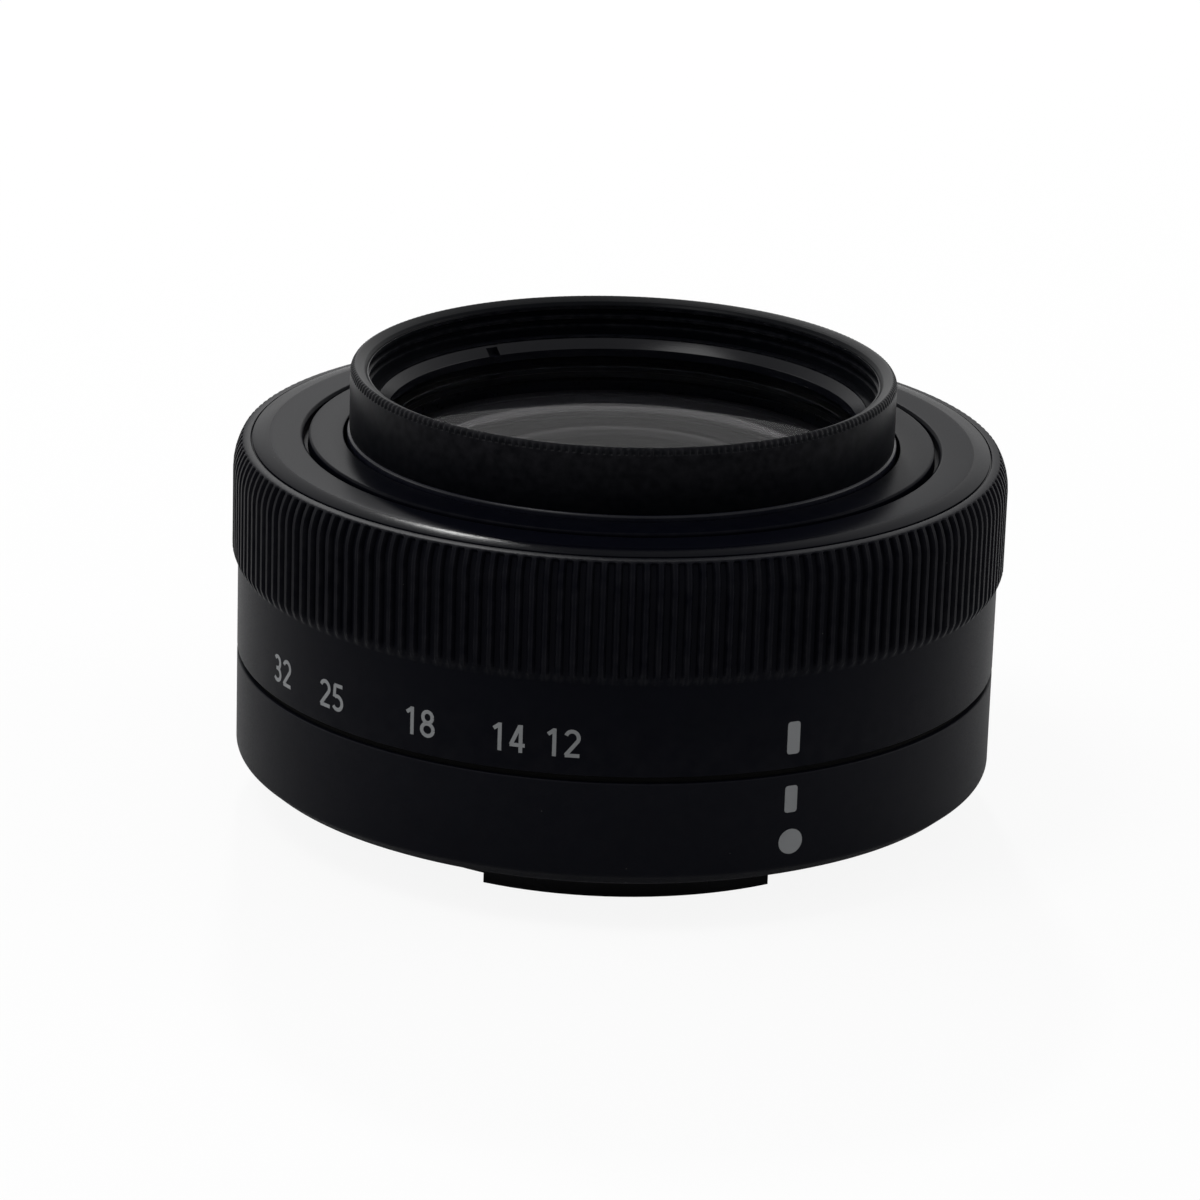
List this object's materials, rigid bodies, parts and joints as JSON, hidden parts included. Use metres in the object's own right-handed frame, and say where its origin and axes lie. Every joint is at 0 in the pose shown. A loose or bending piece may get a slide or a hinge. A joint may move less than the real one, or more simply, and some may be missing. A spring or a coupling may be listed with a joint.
{
  "type": "camera zoom lens",
  "caption": "Collapsible camera zoom lens with a ribbed zoom ring, telescoping barrels, iris, stabiliser, focus unit, bayonet mount and a protective filter on its front thread.",
  "frame": {"origin": "centre of the mount flange's seat, on the optical axis", "axes": "+Z along the optical axis towards the front, -Y towards the picture's camera"},
  "size_m": [0.0555, 0.0554, 0.0323],
  "materials": {
    "mount_metal": "black plated",
    "screw_steel": "machined",
    "contact_gold": "gold plated",
    "black_plastic": "moulded",
    "board": "coated laminate",
    "black_metal": "black anodised",
    "seal": "matt",
    "filter_metal": "black anodised",
    "bright_steel": "ground",
    "pin_plastic": "moulded",
    "iris_steel": "black coated",
    "copper": "wound wire",
    "lens_glass": "coated"
  },
  "bodies": {
    "base": {"mount_ring": "mount_metal", "mount_screws": "screw_steel", "contact_block": "black_plastic", "contact_pins": "contact_gold", "rear_cover": "black_plastic", "rear_cell": "black_plastic", "rear_lens": "lens_glass", "circuit_board": "board", "flex_circuit": "board", "fixed_barrel": "black_plastic", "base_ring": "black_metal", "guide_barrel": "black_plastic", "ring_seal": "seal", "encoder_strip": "contact_gold", "focus_motor": "bright_steel", "guide_poles": "bright_steel"},
    "zoom_ring": {"zoom_ring": "black_metal", "front_cover": "black_metal", "cam_barrel": "black_metal", "drive_screws": "screw_steel", "encoder_brush": "contact_gold"},
    "middle_barrel": {"middle_barrel": "black_metal", "middle_followers": "pin_plastic"},
    "inner_barrel": {"inner_barrel": "black_metal", "inner_followers": "pin_plastic", "front_cell": "black_plastic", "front_ring": "black_metal", "first_lens": "lens_glass", "second_lens": "lens_glass", "third_lens": "lens_glass"},
    "second_group": {"group_frame": "black_plastic", "group_followers": "pin_plastic", "fourth_lens": "lens_glass", "iris_cover": "black_plastic", "iris_motor": "bright_steel", "stabiliser_cover": "black_plastic", "stabiliser_coils": "copper"},
    "iris_ring": {"iris_ring": "iris_steel"},
    "iris_pinion": {"iris_pinion": "pin_plastic"},
    "yaw_frame": {"yaw_frame": "black_plastic"},
    "pitch_frame": {"pitch_frame": "black_plastic", "fifth_lens": "lens_glass", "sixth_lens": "lens_glass", "stabiliser_magnets": "bright_steel"},
    "focus_carriage": {"focus_carriage": "black_plastic", "focus_lens": "lens_glass"},
    "lead_screw": {"lead_screw": "bright_steel"},
    "filter": {"filter_frame": "filter_metal", "filter_glass": "lens_glass", "filter_retainer": "filter_metal"},
    "blade_1": {"blade_1": "iris_steel"},
    "blade_2": {"blade_2": "iris_steel"},
    "blade_3": {"blade_3": "iris_steel"},
    "blade_4": {"blade_4": "iris_steel"},
    "blade_5": {"blade_5": "iris_steel"},
    "blade_6": {"blade_6": "iris_steel"},
    "blade_7": {"blade_7": "iris_steel"}
  },
  "joints": [
    {"name": "zoom_turn", "type": "hinge", "parent": "base", "child": "zoom_ring", "pos_m": [0, 0, 0.012], "axis": [0, 0, 1], "range_deg": [0, 85]},
    {"name": "middle_slide", "type": "slide", "parent": "base", "child": "middle_barrel", "axis": [0, 0, 1], "range_m": [0, 0.0074]},
    {"name": "inner_slide", "type": "slide", "parent": "middle_barrel", "child": "inner_barrel", "axis": [0, 0, 1], "range_m": [0, 0.0068]},
    {"name": "group_slide", "type": "slide", "parent": "base", "child": "second_group", "axis": [0, 0, 1], "range_m": [0, 0.0066], "deforming": ["flex_circuit"]},
    {"name": "iris_turn", "type": "hinge", "parent": "second_group", "child": "iris_ring", "pos_m": [0, 0, 0.0112], "axis": [0, 0, 1], "range_deg": [0, 20]},
    {"name": "pinion_turn", "type": "hinge", "parent": "second_group", "child": "iris_pinion", "pos_m": [0, 0.0147, 0.0112], "axis": [0, 0, 1], "range_deg": [-120, 0]},
    {"name": "blade_1_turn", "type": "hinge", "parent": "second_group", "child": "blade_1", "pos_m": [0.00995, 0, 0.0105], "axis": [0, 0, 1], "range_deg": [0, 25]},
    {"name": "blade_2_turn", "type": "hinge", "parent": "second_group", "child": "blade_2", "pos_m": [0.0062, 0.00778, 0.0105], "axis": [0, 0, 1], "range_deg": [0, 25]},
    {"name": "blade_3_turn", "type": "hinge", "parent": "second_group", "child": "blade_3", "pos_m": [-0.00221, 0.0097, 0.0105], "axis": [0, 0, 1], "range_deg": [0, 25]},
    {"name": "blade_4_turn", "type": "hinge", "parent": "second_group", "child": "blade_4", "pos_m": [-0.00896, 0.00432, 0.0105], "axis": [0, 0, 1], "range_deg": [0, 25]},
    {"name": "blade_5_turn", "type": "hinge", "parent": "second_group", "child": "blade_5", "pos_m": [-0.00896, -0.00432, 0.0105], "axis": [0, 0, 1], "range_deg": [0, 25]},
    {"name": "blade_6_turn", "type": "hinge", "parent": "second_group", "child": "blade_6", "pos_m": [-0.00221, -0.0097, 0.0105], "axis": [0, 0, 1], "range_deg": [0, 25]},
    {"name": "blade_7_turn", "type": "hinge", "parent": "second_group", "child": "blade_7", "pos_m": [0.0062, -0.00778, 0.0105], "axis": [0, 0, 1], "range_deg": [0, 25]},
    {"name": "yaw_slide", "type": "slide", "parent": "second_group", "child": "yaw_frame", "axis": [1, 0, 0], "range_m": [-0.00035, 0.00035]},
    {"name": "pitch_slide", "type": "slide", "parent": "yaw_frame", "child": "pitch_frame", "axis": [0, 1, 0], "range_m": [-0.00035, 0.00035]},
    {"name": "focus_slide", "type": "slide", "parent": "base", "child": "focus_carriage", "axis": [0, 0, 1], "range_m": [0, 0.0024]},
    {"name": "lead_screw_turn", "type": "hinge", "parent": "base", "child": "lead_screw", "pos_m": [0, -0.0122, 0.003], "axis": [0, 0, 1], "range_deg": [0, 1728]},
    {"name": "filter_lift", "type": "slide", "parent": "inner_barrel", "child": "filter", "axis": [0, 0, 1], "range_m": [0, 0.012]}
  ],
  "couplings": [
    {"joint": "middle_slide", "follows": "zoom_turn", "m_per_rad": 0.0049881},
    {"joint": "inner_slide", "follows": "zoom_turn", "m_per_rad": 0.0045837},
    {"joint": "group_slide", "follows": "zoom_turn", "m_per_rad": 0.0044488},
    {"joint": "pinion_turn", "follows": "iris_turn", "ratio": -6},
    {"joint": "lead_screw_turn", "follows": "focus_slide", "rad_per_m": 12566},
    {"joint": "blade_1_turn", "follows": "iris_turn", "ratio": 1.25},
    {"joint": "blade_2_turn", "follows": "iris_turn", "ratio": 1.25},
    {"joint": "blade_3_turn", "follows": "iris_turn", "ratio": 1.25},
    {"joint": "blade_4_turn", "follows": "iris_turn", "ratio": 1.25},
    {"joint": "blade_5_turn", "follows": "iris_turn", "ratio": 1.25},
    {"joint": "blade_6_turn", "follows": "iris_turn", "ratio": 1.25},
    {"joint": "blade_7_turn", "follows": "iris_turn", "ratio": 1.25}
  ]
}
